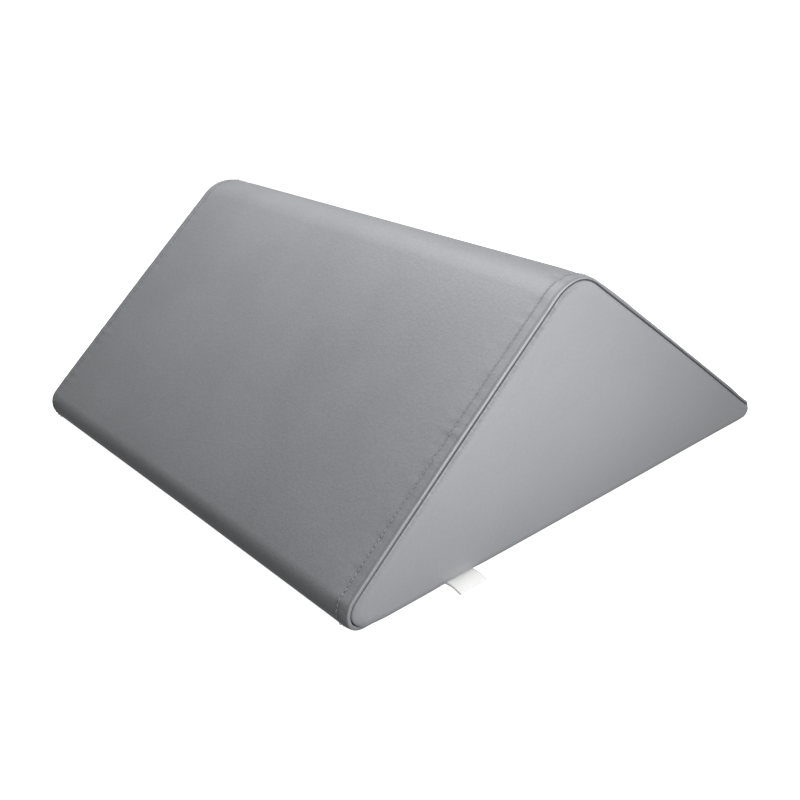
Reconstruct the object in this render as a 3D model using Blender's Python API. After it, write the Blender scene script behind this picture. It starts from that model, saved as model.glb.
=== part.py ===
"""Triangle bolster: a foam wedge cushion in a sewn leather-look cover.

One wrap panel runs round both slants and the base. It is folded in at each end, topstitched
beside the fold, and closed by a crowned triangular end panel. A folded tag is sewn into the
near end's bottom seam. The length runs along X, with the tagged end at +X. The cushion
rests on Z = 0, and its origin is the middle of its base.
"""

import math
from collections import namedtuple

import bmesh
import bpy

MM = 0.001

# Overall form: a triangle of sharp corners, which are then rounded
SEAM_LENGTH = 500 * MM
SHARP_WIDTH = 527 * MM
SHARP_HEIGHT = 213.8 * MM
APEX_RADIUS = 41.3 * MM
FRONT_RADIUS = 16.7 * MM
BACK_RADIUS = 10.2 * MM
# Inside a panel the corners widen again by this share of the inset, so its crown has no creases
CORNER_WIDENING = 0.4
SLANT_CROWN = 1.0 * MM

# Sewn pieces
PANEL_THICKNESS = 2 * MM
PANEL_CROWN = 5.8 * MM
CLEARANCE = 0.3 * MM
TAG_WIDTH = 26.5 * MM
TAG_MIDDLE_Y = -130.6 * MM
TAG_LAYER = 0.5 * MM
TAG_LAYER_GAP = 0.3 * MM

# How finely the outline is divided
APEX_STEPS = 11
FRONT_STEPS = 10
BACK_STEPS = 8
SLANT_STEPS = 7
BASE_STEPS = 5
TAG_FOLD_STEPS = 6

# Plain lengthwise sections between the two stitched ends
MIDDLE_PLACES = (-150 * MM, -50 * MM, 50 * MM, 150 * MM)

# A row of an end's profile: its run from the seam plane along the length, outwards positive,
# and its inset from the outline, both on a slant and on the base, in millimetres. Along the
# base the cushion's weight rolls the seam under, so its columns differ.
Row = namedtuple("Row", "place slant_run slant_inset base_run base_inset")

WRAP_END = (
    Row("plain wrap", -24.0, 0.00, -24.0, 0.00),
    Row("run into the stitching", -16.5, 0.10, -16.5, 0.00),
    Row("stitching, inner lip", -14.2, 0.35, -14.2, 0.10),
    Row("stitching, valley", -13.0, 0.85, -13.0, 0.50),
    Row("stitching, outer lip", -11.8, 0.30, -11.8, 0.10),
    Row("folded band", -8.0, 0.00, -8.0, 0.00),
    Row("band edge", -4.0, 0.30, -5.5, 0.10),
    Row("fold, outer turn", -1.6, 1.20, -3.9, 0.50),
    Row("fold, rim", -0.3, 2.40, -3.2, 0.90),
    Row("fold, inner turn", -0.1, 3.40, -3.1, 1.60),
    Row("groove wall", -0.9, 4.10, -3.6, 2.00),
)

PANEL_FACE = (
    Row("hem in the groove", -2.4, 4.9, -4.3, 2.70),
    Row("hem turn", -1.0, 5.0, -2.8, 2.30),
    Row("rolled edge", 0.1, 5.7, -1.2, 2.15),
    Row("rolled edge, face side", 1.1, 7.2, 0.3, 3.00),
    Row("shoulder", 2.4, 10.5, 1.8, 5.20),
    Row("shoulder, face side", 3.6, 15.5, 3.2, 9.50),
    Row("outer face", 4.5, 23.0, 4.2, 17.00),
    Row("middle face", 5.2, 36.0, 5.1, 34.00),
    Row("inner face", 5.6, 58.0, 5.6, 58.00),
)

# The rows of PANEL_FACE that the hidden side of the panel and the filling behind it repeat
HIDDEN_ROWS = (0, 2, 4, 6, 8)

# The tag's middle line, from the groove to its fold, in millimetres
TagRow = namedtuple("TagRow", "run height")

TAG_LINE = (
    TagRow(-2.6, 1.05),
    TagRow(-1.0, 1.10),
    TagRow(1.5, 1.70),
    TagRow(4.5, 2.30),
    TagRow(8.0, 2.50),
    TagRow(11.5, 2.15),
    TagRow(14.5, 1.55),
    TagRow(17.4, 1.00),
)

# Materials: linear colour, roughness and metallic value
WRAP_COLOUR = (0.245, 0.250, 0.265)
PANEL_COLOUR = (0.290, 0.295, 0.310)
TAG_COLOUR = (0.860, 0.860, 0.850)
LEATHER_ROUGHNESS = 0.50
TAG_ROUGHNESS = 0.85


def clear_scene():
    for thing in list(bpy.data.objects):
        bpy.data.objects.remove(thing, do_unlink=True)


def make_material(name, colour, roughness):
    material = bpy.data.materials.new(name)
    material.use_nodes = True
    material.diffuse_color = (*colour, 1.0)
    shader = material.node_tree.nodes["Principled BSDF"]
    shader.inputs["Base Color"].default_value = (*colour, 1.0)
    shader.inputs["Roughness"].default_value = roughness
    shader.inputs["Metallic"].default_value = 0.0
    return material


def arc(corner, radius, half_angle, middle_angle, steps):
    """Points of one rounded corner, each with the direction of its normal."""
    reach = radius / math.sin(half_angle)
    centre_y = corner[0] - reach * math.cos(middle_angle)
    centre_z = corner[1] - reach * math.sin(middle_angle)
    turn = math.pi - 2 * half_angle
    points = []
    for step in range(steps + 1):
        angle = middle_angle + turn * (step / steps - 0.5)
        y = centre_y + radius * math.cos(angle)
        z = centre_z + radius * math.sin(angle)
        points.append((y, z, angle))
    return points


def corner_radius(radius, inset):
    return max(radius - inset, CORNER_WIDENING * inset)


def outline(slant_inset, base_inset):
    """The rounded triangle, anticlockwise from the front slant's foot, as (y, z, facing down)."""
    slope = math.atan2(SHARP_HEIGHT, SHARP_WIDTH / 2)
    top = SHARP_HEIGHT - slant_inset / math.cos(slope)
    half_width = (top - base_inset) / math.tan(slope)
    foot_inset = (slant_inset + base_inset) / 2
    front = arc(
        (-half_width, base_inset),
        corner_radius(FRONT_RADIUS, foot_inset),
        slope / 2,
        math.pi + slope / 2,
        FRONT_STEPS,
    )
    back = arc(
        (half_width, base_inset),
        corner_radius(BACK_RADIUS, foot_inset),
        slope / 2,
        -slope / 2,
        BACK_STEPS,
    )
    apex = arc(
        (0.0, top),
        corner_radius(APEX_RADIUS, slant_inset),
        math.pi / 2 - slope,
        math.pi / 2,
        APEX_STEPS,
    )
    sides = (
        (front, back, BASE_STEPS, 0.0),
        (back, apex, SLANT_STEPS, SLANT_CROWN),
        (apex, front, SLANT_STEPS, SLANT_CROWN),
    )
    points = []
    for corner, following, steps, crown in sides:
        points += [(y, z, max(-math.sin(angle), 0.0)) for y, z, angle in corner]
        start_y, start_z, normal = corner[-1]
        end_y, end_z, _ = following[0]
        for step in range(1, steps):
            share = step / steps
            rise = crown * math.sin(math.pi * share)
            y = start_y + (end_y - start_y) * share + rise * math.cos(normal)
            z = start_z + (end_z - start_z) * share + rise * math.sin(normal)
            points.append((y, z, max(-math.sin(normal), 0.0)))
    return points


def section(row, side):
    """A closed section at one end; side is +1 at the near end and -1 at the far end."""
    points = []
    for y, z, down in outline(row.slant_inset * MM, row.base_inset * MM):
        run = row.slant_run + (row.base_run - row.slant_run) * down
        points.append((side * (SEAM_LENGTH / 2 + run * MM), y, z))
    return points


def plain_section(x):
    return [(x, y, z) for y, z, _ in outline(0.0, 0.0)]


def offset_pairs(pairs, distance):
    """Move a profile of (run, inset) pairs behind itself by a distance, along its normals."""
    moved = []
    last = len(pairs) - 1
    for index, (run, inset) in enumerate(pairs):
        before = pairs[max(index - 1, 0)]
        after = pairs[min(index + 1, last)]
        along = after[0] - before[0]
        across = after[1] - before[1]
        size = math.hypot(along, across)
        moved.append((run - distance * across / size, inset + distance * along / size))
    return moved


def profile_behind(rows, distance):
    """The same profile, a distance behind the face, for what lies under a panel."""
    millimetres = distance / MM
    slants = offset_pairs([(row.slant_run, row.slant_inset) for row in rows], millimetres)
    bases = offset_pairs([(row.base_run, row.base_inset) for row in rows], millimetres)
    return [
        Row(row.place, *slant, *base)
        for row, slant, base in zip(rows, slants, bases)
    ]


def crown_point(side, depth):
    """The middle of an end, a depth behind the panel's face."""
    slope = math.atan2(SHARP_HEIGHT, SHARP_WIDTH / 2)
    middle_height = SHARP_WIDTH / 2 * math.tan(slope / 2)
    return (side * (SEAM_LENGTH / 2 + PANEL_CROWN - depth), 0.0, middle_height)


def skin_mesh(name, sections, first_point, last_point):
    """A closed body through like sections, with a middle point closing either end."""
    mesh_builder = bmesh.new()
    rings = [[mesh_builder.verts.new(point) for point in ring] for ring in sections]
    for ring, following in zip(rings, rings[1:]):
        for index in range(len(ring)):
            neighbour = (index + 1) % len(ring)
            corners = (ring[index], ring[neighbour], following[neighbour], following[index])
            mesh_builder.faces.new(corners)
    for ring, point in ((rings[0], first_point), (rings[-1], last_point)):
        middle = mesh_builder.verts.new(point)
        for index in range(len(ring)):
            mesh_builder.faces.new((ring[index], ring[(index + 1) % len(ring)], middle))
    bmesh.ops.recalc_face_normals(mesh_builder, faces=mesh_builder.faces)
    mesh = bpy.data.meshes.new(name)
    mesh_builder.to_mesh(mesh)
    mesh_builder.free()
    return mesh


def add_piece(mesh, material, sharp_angle):
    mesh.materials.append(material)
    mesh.shade_smooth()
    mesh.set_sharp_from_angle(angle=math.radians(sharp_angle))
    piece = bpy.data.objects.new(mesh.name, mesh)
    bpy.context.scene.collection.objects.link(piece)
    return piece


def filling_end(side):
    """Sections of one end of the cushion, from the middle face out to the plain wrap."""
    face = [PANEL_FACE[index] for index in HIDDEN_ROWS]
    hidden = profile_behind(face, PANEL_THICKNESS + CLEARANCE)
    hem = PANEL_FACE[0]
    wall = WRAP_END[-1]
    floor_slant = min(hem.slant_run, hidden[0].slant_run) - CLEARANCE / MM
    floor_base = min(hem.base_run, hidden[0].base_run) - CLEARANCE / MM
    wall_foot = Row(
        "groove floor, wrap side",
        floor_slant,
        wall.slant_inset + CLEARANCE / MM,
        floor_base,
        wall.base_inset + CLEARANCE / MM,
    )
    cap_foot = Row(
        "groove floor, filling side",
        floor_slant,
        hidden[0].slant_inset,
        floor_base,
        hidden[0].base_inset,
    )
    rows = list(WRAP_END) + [wall_foot, cap_foot] + hidden[1:]
    return [section(row, side) for row in reversed(rows)]


def cushion_body(material):
    sections = filling_end(-1)
    sections += [plain_section(x) for x in MIDDLE_PLACES]
    sections += reversed(filling_end(1))
    depth = PANEL_THICKNESS + CLEARANCE
    mesh = skin_mesh("cushion_body", sections, crown_point(-1, depth), crown_point(1, depth))
    return add_piece(mesh, material, 50)


def end_panel(name, side, material):
    face = [PANEL_FACE[index] for index in HIDDEN_ROWS]
    hidden = profile_behind(face, PANEL_THICKNESS)
    sections = [section(row, side) for row in reversed(PANEL_FACE)]
    sections += [section(row, side) for row in hidden]
    mesh = skin_mesh(name, sections, crown_point(side, 0.0), crown_point(side, PANEL_THICKNESS))
    return add_piece(mesh, material, 50)


def tag_fold(centre, radius):
    """Half a circle round the tag's outer fold, from its top side to its underside."""
    points = []
    for step in range(1, TAG_FOLD_STEPS):
        angle = math.pi * (0.5 - step / TAG_FOLD_STEPS)
        points.append((centre[0] + radius * math.cos(angle), centre[1] + radius * math.sin(angle)))
    return points


def tag_section():
    """The folded tag's section as (x, z): outside round the fold, then back along the slot."""
    line = [(SEAM_LENGTH / 2 + row.run * MM, row.height * MM) for row in TAG_LINE]
    slot = TAG_LAYER_GAP / 2
    outside = slot + TAG_LAYER
    points = [(x, z + outside) for x, z in line]
    points += tag_fold(line[-1], outside)
    points += [(x, z - outside) for x, z in reversed(line)]
    points += [(x, z - slot) for x, z in line]
    points += reversed(tag_fold(line[-1], slot))
    points += [(x, z + slot) for x, z in reversed(line)]
    return points


def label(material):
    """The tag's section is drawn across its width."""
    section_points = tag_section()
    near_side = TAG_MIDDLE_Y - TAG_WIDTH / 2
    mesh_builder = bmesh.new()
    corners = [mesh_builder.verts.new((x, near_side, z)) for x, z in section_points]
    flat = mesh_builder.faces.new(corners)
    drawn = bmesh.ops.extrude_face_region(mesh_builder, geom=[flat])["geom"]
    moved = [item for item in drawn if isinstance(item, bmesh.types.BMVert)]
    bmesh.ops.translate(mesh_builder, verts=moved, vec=(0.0, TAG_WIDTH, 0.0))
    bmesh.ops.recalc_face_normals(mesh_builder, faces=mesh_builder.faces)
    mesh = bpy.data.meshes.new("label")
    mesh_builder.to_mesh(mesh)
    mesh_builder.free()
    return add_piece(mesh, material, 40)


def main():
    clear_scene()
    wrap_leather = make_material("wrap_leather", WRAP_COLOUR, LEATHER_ROUGHNESS)
    panel_leather = make_material("panel_leather", PANEL_COLOUR, LEATHER_ROUGHNESS)
    tag_cloth = make_material("tag_cloth", TAG_COLOUR, TAG_ROUGHNESS)
    cushion_body(wrap_leather)
    end_panel("end_panel_near", 1, panel_leather)
    end_panel("end_panel_far", -1, panel_leather)
    label(tag_cloth)


main()
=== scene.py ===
import math
from collections import namedtuple

import bpy
import numpy as np
from bpy.props import FloatProperty, FloatVectorProperty, IntProperty, PointerProperty
from bpy.types import Operator, Panel, PropertyGroup
from mathutils import Matrix, Vector


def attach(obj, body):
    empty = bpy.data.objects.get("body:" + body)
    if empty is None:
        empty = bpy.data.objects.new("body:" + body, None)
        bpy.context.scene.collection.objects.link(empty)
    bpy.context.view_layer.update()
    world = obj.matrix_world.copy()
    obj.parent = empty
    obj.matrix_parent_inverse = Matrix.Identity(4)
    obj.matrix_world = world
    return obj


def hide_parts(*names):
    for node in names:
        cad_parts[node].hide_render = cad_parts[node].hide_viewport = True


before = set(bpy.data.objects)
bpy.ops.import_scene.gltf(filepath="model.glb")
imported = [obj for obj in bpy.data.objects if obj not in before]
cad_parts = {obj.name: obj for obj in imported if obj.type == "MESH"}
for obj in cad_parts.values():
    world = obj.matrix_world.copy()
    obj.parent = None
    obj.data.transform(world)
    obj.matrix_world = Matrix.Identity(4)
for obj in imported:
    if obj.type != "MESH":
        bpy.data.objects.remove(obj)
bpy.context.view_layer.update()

bl_info = {
    "name": "Triangle bolster",
    "version": (1, 0, 0),
    "blender": (4, 5, 0),
    "location": "3D View > Sidebar > Bolster",
    "description": "Sews a foam triangle bolster: wrap, end panels, topstitching and tag",
    "category": "Object",
}

MM = 0.001
BODY = "root"
WHITE = (1.0, 1.0, 1.0, 1.0)

# A row of an end's profile: its run from the seam plane along the length, outwards positive,
# and its inset from the cushion's outline, on a slant and on the base, in millimetres
Row = namedtuple("Row", "place slant_run slant_inset base_run base_inset")

WRAP_END = (
    Row("plain wrap", -30.0, 0.00, -30.0, 0.00),
    Row("run into the stitching", -18.0, 0.02, -18.0, 0.00),
    Row("stitching, inner lip", -12.5, 0.02, -12.5, 0.02),
    Row("stitching, inner wall", -11.6, 0.03, -11.6, 0.03),
    Row("stitching, valley", -11.0, 0.06, -11.0, 0.06),
    Row("stitching, outer wall", -10.4, 0.03, -10.4, 0.03),
    Row("stitching, outer lip", -9.5, -0.03, -9.5, 0.00),
    Row("folded band", -6.5, -0.05, -8.0, 0.00),
    Row("band edge", -0.70, 0.05, -5.2, 0.00),
    Row("fold, outer turn", -0.22, 0.55, -4.2, 0.25),
    Row("fold, rim", 0.03, 1.35, -3.6, 0.70),
    Row("fold, crest", 0.1, 2.20, -3.4, 1.20),
    Row("fold, inner turn", -0.15, 2.85, -3.6, 1.70),
    Row("groove wall", -1.35, 3.15, -4.4, 1.90),
    Row("groove floor", -3.9, 3.30, -5.8, 1.95),
)
STITCH_ROW, CREST_ROW = 4, 11

PANEL_FACE = (
    Row("hem in the groove", -3.9, 4.25, -5.8, 2.30),
    Row("hem turn", -1.8, 4.30, -3.2, 2.20),
    Row("rolled edge", -0.8, 4.55, -1.3, 2.05),
    Row("rolled edge, face side", -0.1, 5.30, 0.2, 2.60),
    Row("shoulder", 0.5, 7.50, 1.6, 4.70),
    Row("shoulder, face side", 1.25, 13.0, 2.8, 9.50),
    Row("outer face", 1.8, 22.0, 3.4, 17.00),
    Row("middle face", 3.0, 37.0, 3.9, 34.00),
    Row("inner face", 4.0, 58.0, 4.2, 58.00),
    Row("middle", 4.2, 84.0, 4.3, 84.00),
)

# The tag's middle line, from the groove to its fold, in millimetres
TagRow = namedtuple("TagRow", "run height")

TAG_LINE = (
    TagRow(-2.4, 2.15),
    TagRow(-1.0, 2.45),
    TagRow(1.5, 2.85),
    TagRow(4.5, 3.10),
    TagRow(8.0, 2.90),
    TagRow(11.0, 2.25),
    TagRow(13.5, 1.45),
    TagRow(15.4, 0.80),
)

# How sewing lets the cover wander: which rows move, about which place on the outline (the sides
# are 0 front foot, 1 base, 2 back foot, 3 back slant, 4 ridge, 5 front slant, and the share is
# how far along one), the millimetres inwards and the reach along the girth
Wander = namedtuple("Wander", "place rows side share inset reach")

WANDERS = (
    Wander("front foot, upper part", "seam", 0, 0.20, 0.5, 11.0),
    Wander("front foot, upper part", "fold", 0, 0.30, 1.0, 13.0),
    Wander("front foot, lower part", "seam", 0, 0.75, 1.2, 11.0),
    Wander("front foot, lower part", "fold", 0, 0.75, 0.5, 8.0),
    Wander("tag", "seam", 1, 0.195, 1.6, 17.0),
    Wander("base, back part", "seam", 1, 0.85, 0.7, 80.0),
    Wander("back foot, lower part", "edge", 2, 0.10, 0.7, 6.0),
    Wander("back foot, upper part", "edge", 2, 0.65, -1.0, 6.0),
    Wander("back foot, upper part", "seam", 2, 0.65, -0.4, 6.0),
    Wander("back slant", "seam", 3, 0.50, -0.45, 110.0),
    Wander("back slant", "fold", 3, 0.50, 0.75, 140.0),
    Wander("back slant, lower end", "fold", 3, 0.05, 0.8, 18.0),
    Wander("ridge, back end", "fold", 4, 0.05, 0.8, 16.0),
    Wander("ridge", "seam", 4, 0.50, -1.4, 22.0),
)

# The studio's softboxes, in metres and watts
Softbox = namedtuple("Softbox", "name place aim size watts")

SOFTBOXES = (
    Softbox("overhead_softbox", (-0.12, 0.0, 0.65), (-0.07, 0.0, 0.1), 0.4, 3.55),
    Softbox("end_softbox", (0.66, -0.19, 0.27), (0.26, 0.0, 0.12), 0.25, 2.25),
    Softbox("ridge_softbox", (0.42, 0.03, 0.6), (0.2, 0.0, 0.15), 0.2, 0.45),
    Softbox("small_end_softbox", (0.6, 0.1, 0.35), (0.26, 0.0, 0.15), 0.25, 0.85),
)

# The waves of the puckers: a seed, the fewest and most turns round the girth, and their share
Pucker = namedtuple("Pucker", "seed turns share")

PUCKERS = (
    Pucker(11, (40, 130), 1.0),
    Pucker(31, (12, 45), 0.8),
)

# Where along the profile some moves act, in millimetres: a middle, or a start, and a reach
PUCKERS_AT = (12.0, 9.0)
LIFT_FROM = (12.0, 25.0)
FOLD_AT = (2.5, 3.5)
EDGE_AT = (3.0, 5.0)

# Where the far end's stitching is shifted, in millimetres from its seam, and by what share
SHIFT_RUNS = (-250.0, -30.0, -15.0, -9.0, -3.0)
SHIFT_SHARES = (0.0, 0.0, 1.0, 1.0, 0.0)

# How finely the tag is divided, how its sides thin and droop and how low it may lie, in metres
TAG_COLUMNS = 15
TAG_ROWS = 26
TAG_FOLD_ROWS = 9
TAG_THINNING = 0.45
TAG_DROOP = 0.00018
TAG_LOWEST = 0.00012

# How finely the cover is divided
COLUMNS_AROUND = 620
FEWEST_IN_A_CORNER = 18
CAP_COLUMNS_AROUND = 360
END_ROWS = 44
MIDDLE_ROWS = 20
PANEL_ROWS = 40

# How round a corner may get, of what there is room for
MOST_ROUNDED = 0.92

# How far the base's profile has taken over where the front foot and the back slant meet it
FRONT_TUCK = 0.7
BACK_TUCK = 0.15

# Where an end panel's profile goes over to its smooth crown, in millimetres of inset
FACE_START = 5.5
FACE_RUN_IN = 8.0

# Rows of the wrap that an end panel hides, in millimetres of inset
HIDDEN_INSETS = (10.0, 20.0, 40.0, 60.0)

# The filling's swell, simulated on a coarser cover
SWELL_COLUMNS = 150
SWELL_SPACING = 9 * MM
SWELL_FRAMES = 20
SWELL_TIP_HEIGHT = 0.094
CLOTH_SETTINGS = {
    "quality": 5,
    "mass": 0.3,
    "tension_stiffness": 40.0,
    "compression_stiffness": 40.0,
    "shear_stiffness": 20.0,
    "bending_stiffness": 2.0,
    "use_pressure": True,
}

# The simulated swell: the filling's operator keeps it here, and those of the pieces add it
swell = {}


# Kinds of property

def a_length(name, description, default):
    return FloatProperty(name=name, description=description, default=default, unit="LENGTH")


def an_angle(name, description, default):
    return FloatProperty(name=name, description=description, default=default, subtype="ANGLE")


def a_number(name, description, default):
    return FloatProperty(name=name, description=description, default=default)


def a_colour(name, description, default):
    return FloatVectorProperty(
        name=name, description=description, default=default, subtype="COLOR", size=3
    )


class BolsterForm(PropertyGroup):
    seam_length: a_length("Length between the seams", "From one end seam to the other", 0.5)
    sharp_width: a_length("Base width", "Of the triangle before its corners are rounded", 0.527)
    sharp_height: a_length("Height", "Of the triangle before its corners are rounded", 0.2138)
    apex_radius: a_length("Ridge radius", "Rounding of the ridge", 0.0413)
    front_radius: a_length("Front foot radius", "Rounding of the fuller foot", 0.0167)
    back_radius: a_length("Back foot radius", "Rounding of the tighter foot", 0.0102)
    corner_widening: a_number("Corner widening", "How fast a panel's corners round out inwards", 0.4)
    slant_crown: a_length("Slant crown", "Built-in bow of each slant before the filling swells", 0.0005)
    wrap_swell: a_length("Wrap swell", "Most that the filling pushes the wrap out", 0.0018)
    ridge_lift: a_length("Ridge lift", "How much fuller the ridge is between its ends", 0.0008)
    far_seam_shift: a_length("Far seam shift", "How much nearer the middle the far seam is", 0.0008)
    far_lean: a_length("Far end's lean", "How much more the far end leans in at the ridge", 0.0023)
    base_bulge: a_length("Base bulge", "How far an end panel bulges over its base seam", 0.0021)
    slant_bulge: a_length("Slant bulge", "How far an end panel bulges over its slant seams", 0.00055)
    panel_crown: a_length("Panel crown", "How far the middle of an end panel stands out besides", 0.0026)
    panel_swell: a_length("Panel swell", "Most that the filling pushes an end panel out", 0.0018)
    far_stitch_shift: a_length(
        "Far stitching shift", "How much nearer its seam the far stitching runs", 0.0024
    )
    pressure: a_number("Filling pressure", "Pressure of the cloth simulation", 4.0)
    pucker: a_length("Seam pucker", "Height of the small waves beside the topstitching", 0.00016)


class BolsterCover(PropertyGroup):
    wrap_colour: a_colour("Wrap colour", "Faux leather round the slants and base", (0.245, 0.250, 0.265))
    panel_colour: a_colour("End panel colour", "Faux leather of the end panels", (0.290, 0.295, 0.310))
    grain_size: a_length("Grain size", "Width of one pebble of the embossed grain", 0.0011)
    grain_depth: a_length("Grain depth", "Depth of the embossed grain", 0.00010)
    panel_thickness: a_length("Panel thickness", "Cloth and backing of an end panel", 0.002)
    filling_depth: a_length(
        "Filling depth", "How far behind an end panel's face the filling starts", 0.0045
    )
    seam_allowance: a_length("Seam allowance", "Cloth turned in along each seam", 0.010)


class BolsterStitching(PropertyGroup):
    pitch: a_length("Stitch pitch", "From one needle hole to the next", 0.0041)
    length: a_length("Stitch length", "Thread that shows between two holes", 0.0029)
    thread: a_length("Thread diameter", "Of the sewing thread", 0.0006)
    rise: a_length("Stitch rise", "Height of a stitch's middle over its ends", 0.0007)
    tilt: an_angle("Stitch tilt", "Most that a stitch turns out of line", 0.06)
    seed: IntProperty(name="Seed", description="Of the stitches' small turns", default=7)
    colour: a_colour("Thread colour", "Grey polyester thread", (0.275, 0.280, 0.295))


class BolsterTag(PropertyGroup):
    width: a_length("Tag width", "Along the seam", 0.0271)
    middle: a_length("Tag place", "Middle of the tag across the base", -0.1284)
    layer: a_length("Ribbon thickness", "Of one layer of the folded ribbon", 0.00042)
    gap: a_length("Layer gap", "Air between the two layers", 0.0004)
    rib: a_length("Weave rib", "From one rib of the weave to the next", 0.00042)
    colour: a_colour("Tag colour", "White woven satin ribbon", (0.77, 0.77, 0.76))


class BolsterStage(PropertyGroup):
    azimuth: an_angle("Camera azimuth", "Round the bolster, from the front slant", math.radians(51.6749))
    elevation: an_angle("Camera elevation", "Over the horizon", math.radians(25.326))
    roll: an_angle("Camera roll", "About the line of sight", math.radians(-3.720))
    distance: a_length("Camera distance", "From the point it looks at", 1.03)
    lens: a_number("Lens", "Focal length in millimetres", 47.058)
    target: FloatVectorProperty(
        name="Camera target", description="The point at the picture's middle",
        subtype="XYZ", size=3, default=(0.0055, 0.0195, 0.0164),
    )
    floor_colour: a_colour("Floor colour", "Plain pale floor", (0.86, 0.86, 0.86))
    floor_glow: a_number("Floor glow", "Light from below the white table", 0.93)
    power: a_number("Studio power", "Scales all the softboxes", 1.0)
    room_light: a_number("Room light", "Even light from all round", 0.22)


GROUPS = {
    "bolster_form": BolsterForm,
    "bolster_cover": BolsterCover,
    "bolster_stitching": BolsterStitching,
    "bolster_tag": BolsterTag,
    "bolster_stage": BolsterStage,
}


# Curves and outlines

def spline(knots, values, places):
    """Smooth values at places, from values at rising knots: a Hermite curve through them."""
    knots = np.asarray(knots, float)
    values = np.asarray(values, float)
    slopes = np.gradient(values, knots, axis=0)
    places = np.clip(places, knots[0], knots[-1])
    left = np.clip(np.searchsorted(knots, places, side="right") - 1, 0, len(knots) - 2)
    width = knots[left + 1] - knots[left]
    t = (places - knots[left]) / width
    shape = (-1,) + (1,) * (values.ndim - 1)
    t, width = t.reshape(shape), width.reshape(shape)
    return (
        values[left] * (1 + 2 * t) * (1 - t) ** 2
        + values[left + 1] * t**2 * (3 - 2 * t)
        + slopes[left] * width * t * (1 - t) ** 2
        + slopes[left + 1] * width * t**2 * (t - 1)
    )


def profile(rows, count):
    """The rows of a profile as a smooth run of count rows, without their places' names.

    The fifth column is how far along the profile each row is, in millimetres.
    """
    numbers = np.array([row[1:] for row in rows])
    steps = np.hypot(np.diff(numbers[:, 0]), np.diff(numbers[:, 1]))
    numbers = np.column_stack([numbers, np.concatenate([[0.0], np.cumsum(steps)])])
    knots = np.concatenate([[0.0], np.cumsum(np.sqrt(steps))])
    return spline(knots, numbers, np.linspace(0.0, knots[-1], count))


def behind(rows, distance):
    """A profile moved behind itself by a distance in millimetres, along its normals."""
    moved = rows.copy()
    for run, inset in ((0, 1), (2, 3)):
        along = np.gradient(rows[:, run])
        across = np.gradient(rows[:, inset])
        size = np.hypot(along, across)
        moved[:, run] = rows[:, run] - distance * across / size
        moved[:, inset] = rows[:, inset] + distance * along / size
    return moved


def smooth(value):
    value = np.clip(value, 0.0, 1.0)
    return value * value * (3.0 - 2.0 * value)


def bell(value, middle, reach):
    """1 at a middle, and less and less away from it."""
    return np.exp(-(((value - middle) / reach) ** 2))


def slope_of(form):
    """How steep the slants are, in radians."""
    return math.atan2(form.sharp_height, form.sharp_width / 2)


def inner_radius(form):
    """Of the circle that touches all three sides, so that its middle is as high."""
    return form.sharp_width / 2 * math.tan(slope_of(form) / 2)


def side_steps(form, columns):
    """How many steps each corner and side of the outline has, at about one spacing."""
    slope = slope_of(form)
    slant = math.hypot(form.sharp_height, form.sharp_width / 2)
    foot = math.tan(slope / 2)
    ridge = math.tan(math.pi / 2 - slope)
    lengths = (
        form.front_radius * (math.pi - slope),
        form.sharp_width - (form.front_radius + form.back_radius) / foot,
        form.back_radius * (math.pi - slope),
        slant - form.back_radius / foot - form.apex_radius / ridge,
        form.apex_radius * 2 * slope,
        slant - form.front_radius / foot - form.apex_radius / ridge,
    )
    spacing = sum(lengths) / columns
    steps = [max(round(length / spacing), 2) for length in lengths]
    fewest = min(FEWEST_IN_A_CORNER, columns // 20)
    return [max(count, fewest) if index % 2 == 0 else count for index, count in enumerate(steps)]


def rounded_triangle(form, steps, inset):
    """The rounded triangle as columns y, z and the direction of the normal.

    It runs anticlockwise from the front slant's foot, seen from the tagged end.
    """
    slope = slope_of(form)
    top = form.sharp_height - inset / math.cos(slope)
    half_width = (top - inset) / math.tan(slope)
    corners = (
        (-half_width, inset, form.front_radius, slope / 2, math.pi + slope / 2),
        (half_width, inset, form.back_radius, slope / 2, -slope / 2),
        (0.0, top, form.apex_radius, math.pi / 2 - slope, math.pi / 2),
    )
    arcs = []
    for index, (y, z, radius, half_angle, middle) in enumerate(corners):
        radius = max(radius - inset, form.corner_widening * inset)
        radius = min(radius, MOST_ROUNDED * (inner_radius(form) - inset))
        reach = radius / math.sin(half_angle)
        turn = math.pi - 2 * half_angle
        angles = middle + turn * (np.linspace(0.0, 1.0, steps[2 * index] + 1) - 0.5)
        points_y = y - reach * math.cos(middle) + radius * np.cos(angles)
        points_z = z - reach * math.sin(middle) + radius * np.sin(angles)
        arcs.append(np.column_stack([points_y, points_z, angles]))
    parts = []
    for index, crown in enumerate((0.0, form.slant_crown, form.slant_crown)):
        start, end = arcs[index], arcs[(index + 1) % 3]
        share = np.linspace(0.0, 1.0, steps[2 * index + 1] + 1)[1:-1, None]
        angle = start[-1, 2]
        line = start[-1, :2] + (end[0, :2] - start[-1, :2]) * share
        line = line + crown * np.sin(np.pi * share) * [math.cos(angle), math.sin(angle)]
        parts += [start, np.column_stack([line, np.full(len(line), angle)])]
    return np.concatenate(parts)


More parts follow.
